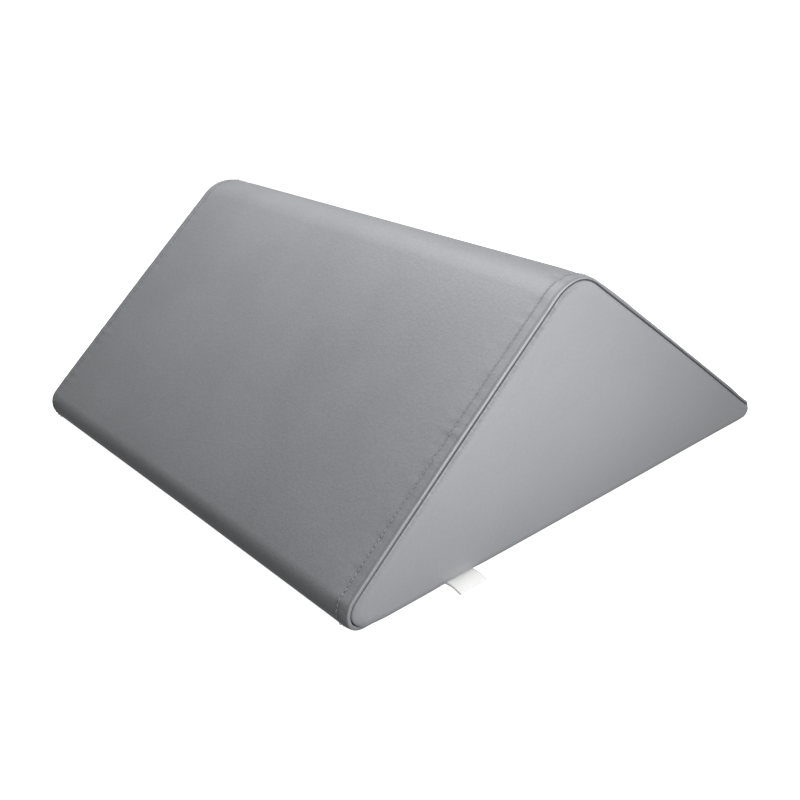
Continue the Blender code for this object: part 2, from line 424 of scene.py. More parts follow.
def tuck_of(form, steps):
    """How far each column has gone over from the slants' profile to the base's, 0 to 1.

    The rim runs on round the front foot, and starts again in the back foot.
    """
    front_foot = np.linspace(0.0, 1.0, steps[0] + 1)
    base = np.linspace(0.0, 1.0, steps[1] + 1)[1:-1] * form.sharp_width
    back_slant = np.linspace(0.0, 1.0, steps[3] + 1)[1:-1]
    return np.concatenate([
        FRONT_TUCK * smooth((front_foot - 0.45) / 0.55),
        FRONT_TUCK + (1.0 - FRONT_TUCK) * smooth(base / 0.022),
        np.linspace(1.0, BACK_TUCK, steps[2] + 1),
        BACK_TUCK * (1.0 - smooth(back_slant / 0.06)),
        np.zeros(steps[4] + 1),
        np.zeros(steps[5] - 1),
    ])


def wander_of(form, steps, rows):
    """How far some of the rows run in from their profile in each column, in metres."""
    places = girth_places(form, steps)
    total = np.zeros(len(places) - 1)
    for wander in WANDERS:
        if wander.rows == rows:
            start, end = (places[sum(steps[:side])] for side in (wander.side, wander.side + 1))
            apart = np.abs(places[:-1] - start - wander.share * (end - start))
            apart = np.minimum(apart, places[-1] - apart)
            total += wander.inset * MM * bell(apart, 0.0, wander.reach * MM)
    return total


def outline(form, steps, slant_inset, base_inset):
    """The cover's outline at a row's insets as columns y, z, normal direction and tuck."""
    middle = (slant_inset + base_inset) / 2
    ring = rounded_triangle(form, steps, middle)
    tuck = tuck_of(form, steps)
    inset = middle / MM
    near_seam = smooth((inset - 0.8) / 1.4) * math.exp(-max(inset - 3.0, 0.0) / 5.0)
    inwards = (slant_inset - base_inset) * (0.5 - tuck) + wander_of(form, steps, "seam") * near_seam
    ring[:, 0] -= inwards * np.cos(ring[:, 2])
    ring[:, 1] -= inwards * np.sin(ring[:, 2])
    return np.column_stack([ring, tuck])


def seam_plane(form, side, z):
    """How far an end's seam is from the middle: the far end leans in towards its ridge."""
    lean = form.far_seam_shift + form.far_lean * z / form.sharp_height
    return form.seam_length / 2 - lean * (side < 0)


def section(form, steps, row, side):
    """One closed section as points, from a row (slant run, slant inset, base run, base inset)."""
    slant_run, slant_inset, base_run, base_inset = (float(value) * MM for value in row[:4])
    ring = outline(form, steps, slant_inset, base_inset)
    run = slant_run + (base_run - slant_run) * ring[:, 3]
    half = seam_plane(form, side, ring[:, 1])
    return np.column_stack([side * (half + run), ring[:, 0], ring[:, 1]])


def sections_of(form, steps, rows, side):
    return np.array([section(form, steps, row, side) for row in rows])


def panel_field(form, y, z):
    """A smooth crown over the triangle, 1 at its middle and 0 at its sides, and the base's share."""
    slope = slope_of(form)
    to_front = (y + form.sharp_width / 2) * math.sin(slope) - z * math.cos(slope)
    to_back = (form.sharp_width / 2 - y) * math.sin(slope) - z * math.cos(slope)
    most = form.sharp_height / 3 * (2 / 3 * form.sharp_height * math.cos(slope)) ** 2
    near_base = z**-2.0 / (z**-2.0 + to_front**-2.0 + to_back**-2.0)
    return z * to_front * to_back / most, near_base


def face_share(rows):
    """How far rows of the end panel's profile have gone over to its smooth crown, 0 to 1."""
    return smooth(((rows[..., 1] + rows[..., 3]) / 2 - FACE_START) / FACE_RUN_IN)


def panel_section(form, steps, row, side):
    """A closed section of an end panel, whose face leaves its rows for one smooth crown."""
    points = section(form, steps, row, side)
    crown, near_base = panel_field(form, points[:, 1], points[:, 2])
    bulge = form.slant_bulge + (form.base_bulge - form.slant_bulge) * near_base
    half = seam_plane(form, side, points[:, 2])
    crowned = side * (half + bulge + form.panel_crown * crown)
    points[:, 0] += (crowned - points[:, 0]) * face_share(row)
    edge = wander_of(form, steps, "edge") * bell((row[1] + row[3]) / 2, *EDGE_AT)
    return points - normals_of(form, steps) * edge[:, None]


def normals_of(form, steps):
    """The outline's outward direction in each column, across the length."""
    angles = rounded_triangle(form, steps, 0.0)[:, 2]
    return np.column_stack([np.zeros(len(angles)), np.cos(angles), np.sin(angles)])


def girth_places(form, steps):
    """How far round the outline each column is, in metres, and the whole girth last."""
    ring = rounded_triangle(form, steps, 0.0)[:, :2]
    around = np.roll(ring, -1, axis=0) - ring
    return np.concatenate([[0.0], np.cumsum(np.hypot(around[:, 0], around[:, 1]))])


def shell_mesh(name, sections, first_point, last_point, around=None, along=None):
    """A closed mesh through like sections, with a fan at each end.

    around and along are its UV map in metres, round the outline and along the profile.
    """
    count, columns = len(sections), len(sections[0])
    points = np.concatenate([*sections, [first_point], [last_point]])
    row, column = np.meshgrid(np.arange(count - 1), np.arange(columns), indexing="ij")
    rows = np.stack([row, row, row + 1, row + 1], axis=-1).reshape(-1, 4)
    turns = np.stack([column, column + 1, column + 1, column], axis=-1).reshape(-1, 4)
    edge = np.arange(columns)
    fan_turns = (
        np.stack([edge + 1, edge, edge], axis=-1),
        np.stack([edge, edge + 1, edge], axis=-1),
    )
    faces = (rows * columns + turns % columns).tolist()
    for index, fan in enumerate(fan_turns):
        corners = index * (count - 1) * columns + fan % columns
        corners[:, 2] = count * columns + index
        faces += corners.tolist()
    mesh = bpy.data.meshes.new(name)
    mesh.from_pydata(points.tolist(), [], faces)
    if around is not None:
        around, along = np.asarray(around), np.asarray(along)
        parts = [np.stack([around[turns], along[rows]], axis=-1)]
        for fan, depth in zip(fan_turns, (along[0], along[-1])):
            parts.append(np.stack([around[fan], np.full(fan.shape, depth)], axis=-1))
        layer = mesh.uv_layers.new(name="Cover")
        layer.data.foreach_set("uv", np.concatenate([part.ravel() for part in parts]))
    mesh.shade_smooth()
    return mesh


def show(name, data, *materials):
    """An object in the scene, with its materials."""
    shown = bpy.data.objects.new(name, data)
    bpy.context.scene.collection.objects.link(shown)
    for material in materials:
        data.materials.append(material)
    return shown


# The filling's swell

def swell_rows(form):
    """Rows of the coarse cover from the tagged end's middle to the wrap's, as profile rows."""
    panel = profile(PANEL_FACE, 12)[::-1, :4]
    band = np.array([row[1:] for row in WRAP_END if row.place in (
        "fold, crest", "band edge", "folded band", "stitching, valley", "run into the stitching"
    )])[::-1]
    plain = np.arange(-30.0, -form.seam_length / 2 / MM, -SWELL_SPACING / MM)
    wrap = np.array([(run, 0.0, run, 0.0) for run in plain])
    return panel, band, wrap


def simulate_swell(form):
    """Fills a coarse closed cover with pressure and keeps how far each of its points moves."""
    steps = side_steps(form, SWELL_COLUMNS)
    panel, band, wrap = swell_rows(form)
    near_rows = np.concatenate([panel, band, wrap])
    near = sections_of(form, steps, near_rows, 1)
    sections = np.concatenate([sections_of(form, steps, near_rows, -1), near[::-1]])
    reach = form.seam_length / 2 + PANEL_FACE[-1].slant_run * MM
    tips = [(-reach, 0.0, SWELL_TIP_HEIGHT), (reach, 0.0, SWELL_TIP_HEIGHT)]
    mesh = shell_mesh("swelling_cover", sections, *tips)
    cover = show("swelling_cover", mesh)
    columns = sections.shape[1]
    held = cover.vertex_groups.new(name="held")
    for index in range(len(panel) - 2, len(panel) + len(band) - 1):
        for row in (index, len(sections) - 1 - index):
            held.add(list(range(row * columns, (row + 1) * columns)), 1.0, "REPLACE")
    cloth = cover.modifiers.new("filling", "CLOTH")
    settings = cloth.settings
    for name, value in CLOTH_SETTINGS.items():
        setattr(settings, name, value)
    settings.uniform_pressure_force = form.pressure
    settings.vertex_group_mass = held.name
    settings.effector_weights.gravity = 0.0
    scene = bpy.context.scene
    for moment in range(1, SWELL_FRAMES + 1):
        scene.frame_set(moment)
    swollen = cover.evaluated_get(bpy.context.evaluated_depsgraph_get()).to_mesh()
    places = np.empty(len(swollen.vertices) * 3)
    swollen.vertices.foreach_get("co", places)
    places = places.reshape(-1, 3)[: sections.shape[0] * columns].reshape(sections.shape)
    bpy.data.objects.remove(cover, do_unlink=True)
    scene.frame_set(1)
    moved = places - sections
    half = len(near_rows)
    girth = girth_places(form, steps)
    return {
        "places": girth / girth[-1],
        "far": moved[:half],
        "near": moved[half:][::-1],
        "far_places": sections[:half],
        "near_places": sections[half:][::-1],
        "wrap_runs": np.concatenate([band[:, 0], wrap[:, 0]]),
        "panel_rows": len(panel),
    }


def limited(moved, most):
    """Moves eased together so that the longest one is the most allowed."""
    return moved * (most / max(np.linalg.norm(moved, axis=-1).max(), 1e-9))


def around_again(places, moved, wanted):
    """Values on a closed loop at other places round it."""
    wide = np.concatenate([places[-4:-1] - 1.0, places[:-1], places[:4] + 1.0])
    values = np.concatenate([moved[-3:], moved, moved[:4]])
    return spline(wide, values, wanted)


def wrap_moves(form, girth, runs, side):
    """The wrap's swell at the given runs (millimetres, falling) and girth places (0 to 1)."""
    half = swell["near" if side > 0 else "far"][swell["panel_rows"]:]
    knots = -swell["wrap_runs"]
    rows = spline(knots, limited(half, form.wrap_swell), -np.asarray(runs))
    return np.array([around_again(swell["places"], row, girth) for row in rows])


def swell_shapes(form, y, z):
    """Smooth shapes over the triangle that an end panel's swell is made of.

    u and v are in tenths of a metre, from the middle of the base and from 70 mm over it.
    """
    crown, _ = panel_field(form, y, z)
    u, v = y * 10.0, z * 10.0 - 0.7
    return crown[..., None] * np.stack([np.ones_like(u), u, v, u * u, u * v, v * v], axis=-1)


def panel_moves(form, points, side):
    """An end panel's swell outwards: the smooth shapes that fit the simulated moves best."""
    name = "near" if side > 0 else "far"
    count = swell["panel_rows"] - 2
    start = swell[name + "_places"][:count]
    shapes = swell_shapes(form, start[..., 1], start[..., 2]).reshape(-1, 6)
    moved = side * swell[name][:count, :, 0].ravel()
    parts = np.linalg.lstsq(shapes, moved, rcond=None)[0]
    most = (shapes @ parts).max()
    outwards = swell_shapes(form, points[..., 1], points[..., 2]) @ parts
    return side * outwards * form.panel_swell / max(most, 1e-9)


def ripples(girth, seed, fewest, most):
    """A smooth closed random wave round the girth, within about one either way."""
    random = np.random.default_rng(seed)
    wave = np.zeros(len(girth))
    for turns in range(fewest, most):
        wave += random.normal() * np.cos(2 * np.pi * (turns * girth + random.random()))
    return wave / math.sqrt(most - fewest)


# Materials

class Signal:
    """A node's output that numbers and other outputs can be reckoned with."""

    def __init__(self, graph, socket):
        self.graph = graph
        self.socket = socket

    def reckon(self, operation, *operands):
        """A sum of the operands, or of this output alone."""
        values = dict(enumerate(operands or (self,)))
        return self.graph.node("ShaderNodeMath", values, operation=operation)

    def other(self, name):
        """Another output of the same node."""
        return Signal(self.graph, self.socket.node.outputs[name])

    def __add__(self, other):
        return self.reckon("ADD", self, other)

    def __sub__(self, other):
        return self.reckon("SUBTRACT", self, other)

    def __rsub__(self, other):
        return self.reckon("SUBTRACT", other, self)

    def __mul__(self, other):
        return self.reckon("MULTIPLY", self, other)

    def __truediv__(self, other):
        return self.reckon("DIVIDE", self, other)

    def __abs__(self):
        return self.reckon("ABSOLUTE")

    __radd__ = __add__
    __rmul__ = __mul__


class Graph:
    """Adds nodes to a tree."""

    def __init__(self, tree):
        self.tree = tree

    def node(self, kind, values=None, output=0, **settings):
        """A node's output, with its settings made first and then its sockets filled or linked."""
        node = self.tree.nodes.new(kind)
        for name, value in settings.items():
            setattr(node, name, value)
        for key, value in (values or {}).items():
            if isinstance(value, Signal):
                self.tree.links.new(value.socket, node.inputs[key])
            else:
                node.inputs[key].default_value = value
        return Signal(self, node.outputs[output]) if len(node.outputs) else node

    def between(self, value, low, high):
        """0 below low and 1 above high, smoothly."""
        values = {"Value": value, "From Min": low, "From Max": high}
        return self.node("ShaderNodeMapRange", values, interpolation_type="SMOOTHSTEP")

    def until(self, value, low, high):
        """1 below low and 0 above high, smoothly."""
        return 1.0 - self.between(value, low, high)

    def blend(self, share, first, second):
        """A mix of two colours."""
        values = {0: share, 6: first, 7: second}
        return self.node("ShaderNodeMix", values, output=2, data_type="RGBA")

    def marked(self, base, colour, marks):
        """A base with marks over it: how much each shows, and how light it makes the colour."""
        for share, tone in marks:
            base = self.blend(share, base, shade(colour, tone))
        return base

    def noise(self, place, scale, detail):
        values = {"Vector": place, "Scale": scale, "Detail": detail}
        return self.node("ShaderNodeTexNoise", values)

    def vector(self, **parts):
        return self.node("ShaderNodeCombineXYZ", parts)

    def wave(self, value, pitch):
        return (value * (2 * math.pi / pitch)).reckon("SINE")

    def cover_place(self):
        """Where a point is on its piece's map, in metres: across, and along."""
        place = self.node("ShaderNodeUVMap", uv_map="Cover")
        across = self.node("ShaderNodeSeparateXYZ", {0: place})
        return across, across.other("Y")

    def bump(self, height, distance, strength, normal=None):
        values = {"Height": height, "Distance": distance, "Strength": strength}
        if normal:
            values["Normal"] = normal
        return self.node("ShaderNodeBump", values)

    def link(self, target, **signals):
        """Outputs linked to a node's inputs of the same names."""
        for name, signal in signals.items():
            self.tree.links.new(signal.socket, target.inputs[name.replace("_", " ")])


def new_material(name, colour, roughness, **fixed):
    """A material, its graph and its shader, with the values that are the same all over."""
    material = bpy.data.materials.new(name)
    material.use_nodes = True
    material.diffuse_color = (*colour, 1.0)
    shader = material.node_tree.nodes["Principled BSDF"]
    shader.inputs["Base Color"].default_value = (*colour, 1.0)
    shader.inputs["Roughness"].default_value = roughness
    for name, value in fixed.items():
        shader.inputs[name.replace("_", " ")].default_value = value
    return material, Graph(material.node_tree), shader


def shade(colour, factor):
    return (*(part * factor for part in colour), 1.0)


def leather(name, colour, cover, grain_strength, sewn):
    """Faux leather: an embossed pebble grain and faint cloudiness, with the seams' marks and painted
    light and shade.

    sewn takes the graph, the base colour and the bump, and gives both back with the seams' marks and
    their painted highlight and shade.
    """
    material, graph, shader = new_material(
        name, colour, 0.46, Specular_IOR_Level=0.42, Sheen_Weight=0.12, Sheen_Roughness=0.45,
        Coat_Weight=0.06, Coat_Roughness=0.38,
    )
    place = graph.node("ShaderNodeTexCoord", output=3)
    pebble_scale = 1.0 / cover.grain_size
    pebbles = graph.node(
        "ShaderNodeTexVoronoi", {"Vector": place, "Scale": pebble_scale, "Randomness": 1.0},
        feature="DISTANCE_TO_EDGE",
    )
    creases = graph.between(pebbles, 0.0, 0.22)
    mottle = graph.between(graph.noise(place, pebble_scale * 0.5, 2.0), 0.35, 0.65)
    clouds = graph.noise(place, 14.0, 3.0)
    grain = creases * 0.5 + mottle * 0.5
    tone = graph.between(clouds, 0.3, 0.7) * 0.3 + creases * 0.3 + mottle * 0.4
    darkest, lightest = 1.0 - 0.10 * grain_strength, 1.0 + 0.09 * grain_strength
    base = graph.blend(tone, shade(colour, darkest), shade(colour, lightest))
    normal = graph.bump(grain, cover.grain_depth, grain_strength)
    base, normal = sewn(graph, base, normal)
    roughness = 0.43 + clouds * 0.08 - creases * 0.03
    graph.link(shader, Base_Color=base, Roughness=roughness, Normal=normal)
    return material


# Painted light and shade on the wrap's fold beside the front slant: a painted highlight on its edge and
# painted shade just beside it. How far from its crest each mark lies, how wide it is at its full
# strength and in all, in metres, how much it shows and how light it makes the colour
Mark = namedtuple("Mark", "name place full width share tone")

FOLD_HIGHLIGHT_AND_SHADE = (
    Mark("painted highlight on the fold's edge", 0.0013, 0.0003, 0.0007, 0.75, 1.55),
    Mark("painted shade beside the fold", 0.0033, 0.0009, 0.0018, 0.65, 0.60),
)

# How light the painted shade makes the colour: in the groove, in a needle hole and on the end panel
# beside its front seam
GROOVE_SHADE_TONE = 0.22
HOLE_SHADE_TONE = 0.30
SEAM_SHADE_TONE = 0.35


def run_to(row):
    """How far along the wrap's profile one of its rows is, in millimetres."""
    return profile(WRAP_END[: row + 1], 2)[-1, 4]


def stitch_line():
    """How far the stitching is from the fold's crest, along the wrap, in metres."""
    return (run_to(CREST_ROW) - run_to(STITCH_ROW)) * MM


def gathers(graph, around, along):
    """Fine uneven pleats across a seam, from 0 to 1."""
    stretched = graph.vector(X=around * 900.0, Y=along * 140.0)
    return graph.between(graph.noise(stretched, 1.0, 2.5), 0.30, 0.70)


def beside_front(graph, form, around, columns):
    """1 along the front slant's seam and a little round its corners, 0 on the other sides."""
    steps = side_steps(form, columns)
    places = girth_places(form, steps)
    ridge_end, foot_end = places[sum(steps[:5])], places[steps[0]]
    front = graph.between(around, ridge_end - 0.045, ridge_end - 0.008)
    front = front * (1.0 - graph.between(around, places[-1] - 0.16, places[-1]) * 0.5)
    foot = 0.5 - graph.between(around, 0.0, foot_end * 0.5) * 0.5
    return front.reckon("MAXIMUM", front, foot)


def painted_groove_shade(there, front):
    """The groove's painted shade, which is faint except beside the front slant."""
    return there * (0.1 + front * 0.85), GROOVE_SHADE_TONE


def wrap_seams_and_painted_shade(graph, base, normal, colour, form, stitching):
    """Painted shade in the needle holes of the stitched valley, a painted highlight on the fold's edge
    with painted shade beside it, and painted shade in the groove and in the pleats beside the stitching.
    """
    around, along = graph.cover_place()
    across = abs(along - stitch_line())
    girth = girth_places(form, side_steps(form, COLUMNS_AROUND))[-1]
    pitch = girth / round(girth / stitching.pitch)
    beside = ((around / pitch).reckon("FRACT") - 0.5) * (0.75 * pitch)
    distance = (beside * beside + across * across).reckon("SQRT")
    # Needle holes: painted shade in them, and a bump
    holes = graph.until(distance, 0.0003, 0.0009)
    front = beside_front(graph, form, around, COLUMNS_AROUND)
    # Painted shade in the groove, deepest beside the front slant
    groove_shade_mask = graph.between(front * 0.0006 - along, 0.0005, 0.0013)
    pleats = gathers(graph, around, along)
    # Painted shade in the pleats beside the stitching, besides their bump
    beside_seam = graph.until(abs(along - 0.006), 0.003, 0.010)
    marks = [(holes * 0.4, HOLE_SHADE_TONE)]
    # A painted highlight on the fold's edge and painted shade beside it, only beside the front slant
    for mark in FOLD_HIGHLIGHT_AND_SHADE:
        there = graph.until(abs(along - mark.place), mark.full, mark.width)
        marks.append((there * front * mark.share, mark.tone))
    marks += [painted_groove_shade(groove_shade_mask, front), (beside_seam * pleats * 0.08, 0.6)]
    normal = graph.bump(pleats * beside_seam, 0.0004, 0.2, normal)
    return graph.marked(base, colour, marks), graph.bump(1.0 - holes, 0.0005, 0.6, normal)


def panel_seams_and_painted_shade(graph, base, normal, colour, form):
    """Painted shade on the hem in the groove, beside the front seam where fine gathers also are, and
    along the base seam's edge.
    """
    around, along = graph.cover_place()
    # Painted shade on the hem down in the groove
    hem = graph.until(along, 0.0025, 0.0037)
    steps = side_steps(form, CAP_COLUMNS_AROUND)
    places = girth_places(form, steps)
    foot_end, back_start = places[steps[0]], places[steps[0] + steps[1]]
    front = beside_front(graph, form, around, CAP_COLUMNS_AROUND)
    bottom = graph.between(around, foot_end - 0.004, foot_end + 0.010)
    bottom = bottom * graph.until(around, back_start - 0.004, back_start + 0.004)
    pleats = gathers(graph, around, along)
    # Painted shade on the panel beside the front seam, made uneven by the gathers
    beside = graph.until(along, 0.0030, 0.0078 + pleats * 0.0030)
    # Painted shade on the panel's edge along the base seam, where it turns under
    turned = bottom * graph.until(along, 0.0034, 0.0058)
    marks = (
        (front * beside * (0.36 + pleats * 0.32), SEAM_SHADE_TONE),
        (turned * 0.3, 0.30),
        painted_groove_shade(hem, front),
    )
    normal = graph.bump(pleats * front * beside, 0.0008, 0.2, normal)
    return graph.marked(base, colour, marks), normal


def thread_material(stitching):
    """Twisted polyester thread."""
    material, graph, shader = new_material(
        "sewing_thread", stitching.colour, 0.55, Sheen_Weight=0.2, Specular_IOR_Level=0.4
    )
    place = graph.node("ShaderNodeTexCoord", output=3)
    twist = graph.node(
        "ShaderNodeTexWave", {"Vector": place, "Scale": 900.0, "Distortion": 1.0},
        bands_direction="DIAGONAL",
    )
    base = graph.blend(twist, shade(stitching.colour, 0.75), shade(stitching.colour, 1.15))
    graph.link(shader, Base_Color=base, Normal=graph.bump(twist, 0.0001, 0.6))
    return material


def ribbon_material(tag):
    """White satin ribbon: fine ribs across it, warp threads along it, and painted shade along its edges
    and across its fold.
    """
    material, graph, shader = new_material(
        "woven_ribbon", tag.colour, 0.62, Sheen_Weight=0.25, Specular_IOR_Level=0.4
    )
    across, along = graph.cover_place()
    weave = graph.wave(along, tag.rib) * 0.3 + graph.wave(across, tag.rib * 0.7) * 0.2 + 0.5
    half = tag.width / 2
    # Painted shade along the ribbon's edges
    edge = graph.between(abs(across - half), half - 0.0012, half - 0.0008)
    fold = (TAG_LINE[-1].run - TAG_LINE[0].run) * MM
    # Painted shade across the ribbon's fold
    fold_shade = graph.until(abs(along - fold), 0.0004, 0.0014)
    base = graph.blend(weave, shade(tag.colour, 0.96), shade(tag.colour, 1.03))
    base = graph.marked(base, tag.colour, ((edge * 0.8, 0.70), (fold_shade * 0.6, 0.75)))
    graph.link(shader, Base_Color=base, Normal=graph.bump(weave, 0.00012, 0.5))
    return material


# Pieces

def wrap_rows(form, side):
    """The wrap's fine rows at one end. The fifth column is how far each is from the crest."""
    end = profile(WRAP_END, END_ROWS)
    end[:, 4] = run_to(CREST_ROW) - end[:, 4]
    plain = np.linspace(-form.seam_length / 2 / MM, end[0, 0], MIDDLE_ROWS)[1:-1]
    middle = np.array([(run, 0.0, run, 0.0, end[0, 4] + end[0, 0] - run) for run in plain])
    rows = np.concatenate([middle, end])
    if side < 0:
        shift = form.far_stitch_shift / MM * np.interp(rows[:, 0], SHIFT_RUNS, SHIFT_SHARES)
        rows[:, 0] += shift
        rows[:, 2] += shift
    return rows


def wrap_sections(form, side):
    """The wrap's sections at one half, swollen and puckered, from its middle to the groove."""
    steps = side_steps(form, COLUMNS_AROUND)
    rows = wrap_rows(form, side)
    places = girth_places(form, steps)
    girth = places[:-1] / places[-1]
    sections = sections_of(form, steps, rows, side)
    sections += wrap_moves(form, girth, rows[:, 0], side)
    normals = normals_of(form, steps)
    waves = sum(wave.share * ripples(girth, wave.seed + side, *wave.turns) for wave in PUCKERS)
    ridge = places[sum(steps[:4]) + steps[4] // 2]
    lift = form.ridge_lift * bell(places[:-1], ridge, 0.035)
    fold = wander_of(form, steps, "fold")
    for index, depth in enumerate(rows[:, 4]):
        outwards = waves * form.pucker * bell(depth, *PUCKERS_AT)
        outwards += lift * smooth((depth - LIFT_FROM[0]) / LIFT_FROM[1])
        outwards -= fold * bell(depth, *FOLD_AT)
        sections[index] += normals * outwards[:, None]
    sections[..., 2] = np.maximum(sections[..., 2], 0.0)
    return sections, rows, places


def wrap_cover(form, cover, stitching):
    """The wrap with its folds at both ends, and rows that close it behind the end panels."""
    near, rows, places = wrap_sections(form, 1)
    far, _, _ = wrap_sections(form, -1)
    steps = side_steps(form, COLUMNS_AROUND)
    face = profile(PANEL_FACE, PANEL_ROWS)
    back = behind(face, cover.filling_depth / MM)
    hidden = np.array([back[np.argmin(abs(back[:, 1] - inset))] for inset in HIDDEN_INSETS])
    # The first hidden row leads in from under the groove
    foot = np.array([-5.2, hidden[0, 1] - 4.0, -6.2, hidden[0, 3] - 2.0, 0.0])
    hidden = np.concatenate([[foot], hidden])
    far_hidden = sections_of(form, steps, hidden, -1)[::-1]
    near_hidden = sections_of(form, steps, hidden, 1)
    middle = (near[:1] + far[:1]) / 2
    sections = np.concatenate([far_hidden, far[::-1], middle, near, near_hidden])
    depth = list(rows[:, 4] * MM)
    below = [depth[-1] - 0.01] * len(hidden)
    along = below + depth[::-1] + [form.seam_length / 2] + depth + below
    reach = form.seam_length / 2 + hidden[-1, 0] * MM
    tips = [(tip, 0.0, inner_radius(form)) for tip in (-reach, reach)]
    mesh = shell_mesh("wrap_cover", sections, *tips, places, along)
    colour = tuple(cover.wrap_colour)
    material = leather(
        "wrap_leather_painted_shade", colour, cover, 1.0,
        lambda graph, base, normal: wrap_seams_and_painted_shade(graph, base, normal, colour, form, stitching),
    )
    piece = show("wrap_cover", mesh, material)
    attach(piece, BODY)
    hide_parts("cushion_body")
    return piece


def end_cover(name, node, form, cover, side, material):
    """An end panel: its face, its hem in the groove and its inner side."""
    steps = side_steps(form, CAP_COLUMNS_AROUND)
    places = girth_places(form, steps)
    face = profile(PANEL_FACE, PANEL_ROWS)
    back = behind(face, cover.panel_thickness / MM)[::3]
    outer = np.array([panel_section(form, steps, row, side) for row in face[::-1]])
    inner = np.array([panel_section(form, steps, row, side) for row in back])
    inner[..., 0] -= side * cover.panel_thickness * face_share(back)[:, None]
    for face_points in (outer, inner):
        face_points[..., 0] += panel_moves(form, face_points, side)
    sections = np.concatenate([outer, inner])
    insets = list(face[::-1, 4] * MM) + list(face[::3][:, 4] * MM)
    tips = [(float(ring[:, 0].mean()), 0.0, inner_radius(form)) for ring in (outer[0], inner[-1])]
    mesh = shell_mesh(name, sections, *tips, places, insets)
    if side > 0:
        mesh.flip_normals()
    piece = show(name, mesh, material)
    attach(piece, BODY)
    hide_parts(node)
    cut = rounded_triangle(form, steps, PANEL_FACE[0].slant_inset * MM - cover.seam_allowance)
    return piece


# What the stitches' node tree is given, and the kind of each
STITCH_INPUTS = {
    "Geometry": "Geometry",
    "Length": "Float",
    "Thread": "Float",
    "Rise": "Float",
    "Tilt": "Float",
    "Count": "Int",
    "Seed": "Int",
}


def stitch_tree(material):
    """Stitches along a guide loop whose up attribute says where the cloth faces."""
    tree = bpy.data.node_groups.new("stitches", "GeometryNodeTree")
    tree.is_modifier = True
    for name, kind in STITCH_INPUTS.items():
        tree.interface.new_socket(name, in_out="INPUT", socket_type="NodeSocket" + kind)
    tree.interface.new_socket("Geometry", in_out="OUTPUT", socket_type="NodeSocketGeometry")
    graph = Graph(tree)
    given = tree.nodes.new("NodeGroupInput").outputs
    size = {name: Signal(graph, given[name]) for name in STITCH_INPUTS}
    loop = graph.node("GeometryNodeMeshToCurve", {"Mesh": size["Geometry"]})
    points = graph.node(
        "GeometryNodeCurveToPoints", {"Curve": loop, "Count": size["Count"]}, mode="COUNT"
    )
    up = graph.node("GeometryNodeInputNamedAttribute", {"Name": "up"}, data_type="FLOAT_VECTOR")
    facing = graph.node(
        "FunctionNodeAlignRotationToVector", {"Vector": points.other("Tangent")}, axis="X"
    )
    facing = graph.node(
        "FunctionNodeAlignRotationToVector", {"Rotation": facing, "Vector": up}, axis="Z",
        pivot_axis="X",
    )
    tilt = {2: 0.0 - size["Tilt"], 3: size["Tilt"], "Seed": size["Seed"]}
    turn = graph.node("FunctionNodeRandomValue", tilt, output=1, data_type="FLOAT")
    turned = graph.node("FunctionNodeEulerToRotation", {0: graph.vector(Z=turn)})
    facing = graph.node(
        "FunctionNodeRotateRotation", {0: facing, 1: turned}, rotation_space="LOCAL"
    )
    half = size["Length"] * 0.5
    sunk = 0.0 - size["Rise"] * 0.5
    bow = graph.node("GeometryNodeCurveQuadraticBezier", {
        "Resolution": 8,
        "Start": graph.vector(X=0.0 - half, Z=sunk),
        "Middle": graph.vector(Z=size["Rise"] * 1.5),
        "End": graph.vector(X=half, Z=sunk),
    })
    rim = graph.node(
        "GeometryNodeCurvePrimitiveCircle", {"Resolution": 8, "Radius": size["Thread"] * 0.5},
        mode="RADIUS",
    )
    stitch = graph.node(
        "GeometryNodeCurveToMesh", {"Curve": bow, "Profile Curve": rim, "Fill Caps": True}
    )
    placed = graph.node(
        "GeometryNodeInstanceOnPoints", {"Points": points, "Instance": stitch, "Rotation": facing}
    )
    real = graph.node("GeometryNodeRealizeInstances", {"Geometry": placed})
    rounded = graph.node("GeometryNodeSetShadeSmooth", {"Geometry": real})
    sewn = graph.node("GeometryNodeSetMaterial", {"Geometry": rounded, "Material": material})
    graph.node("NodeGroupOutput", {"Geometry": sewn})
    return tree


def topstitching(name, form, stitching, side, tree, material):
    """One closed line of stitches on the wrap beside an end's fold."""
    sections, rows, places = wrap_sections(form, side)
    valley = int(np.argmin(abs(rows[:, 4] * MM - stitch_line())))
    ring = sections[valley]
    normals = normals_of(form, side_steps(form, COLUMNS_AROUND))
    on_top = ring + normals * stitching.thread * 0.4
    on_top[:, 2] = np.maximum(on_top[:, 2], stitching.thread)
    guide = bpy.data.meshes.new(name + "_guide")
    count = len(ring)
    guide.from_pydata(on_top.tolist(), [(i, (i + 1) % count) for i in range(count)], [])
    ups = guide.attributes.new("up", "FLOAT_VECTOR", "POINT")
    ups.data.foreach_set("vector", normals.ravel())
    line = show(name + "_guide", guide)
    sewing = line.modifiers.new("sewing", "NODES")
    sewing.node_group = tree
    inputs = {item.name: item.identifier for item in tree.interface.items_tree
              if item.in_out == "INPUT"}
    for key in ("Length", "Thread", "Rise", "Tilt", "Seed"):
        sewing[inputs[key]] = getattr(stitching, key.lower())
    sewing[inputs["Count"]] = round(places[-1] / stitching.pitch)
    graph = bpy.context.evaluated_depsgraph_get()
    mesh = bpy.data.meshes.new_from_object(line.evaluated_get(graph))
    bpy.data.objects.remove(line, do_unlink=True)
    mesh.name = name
    mesh.materials.clear()
    piece = show(name, mesh, material)
    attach(piece, BODY)
    return piece


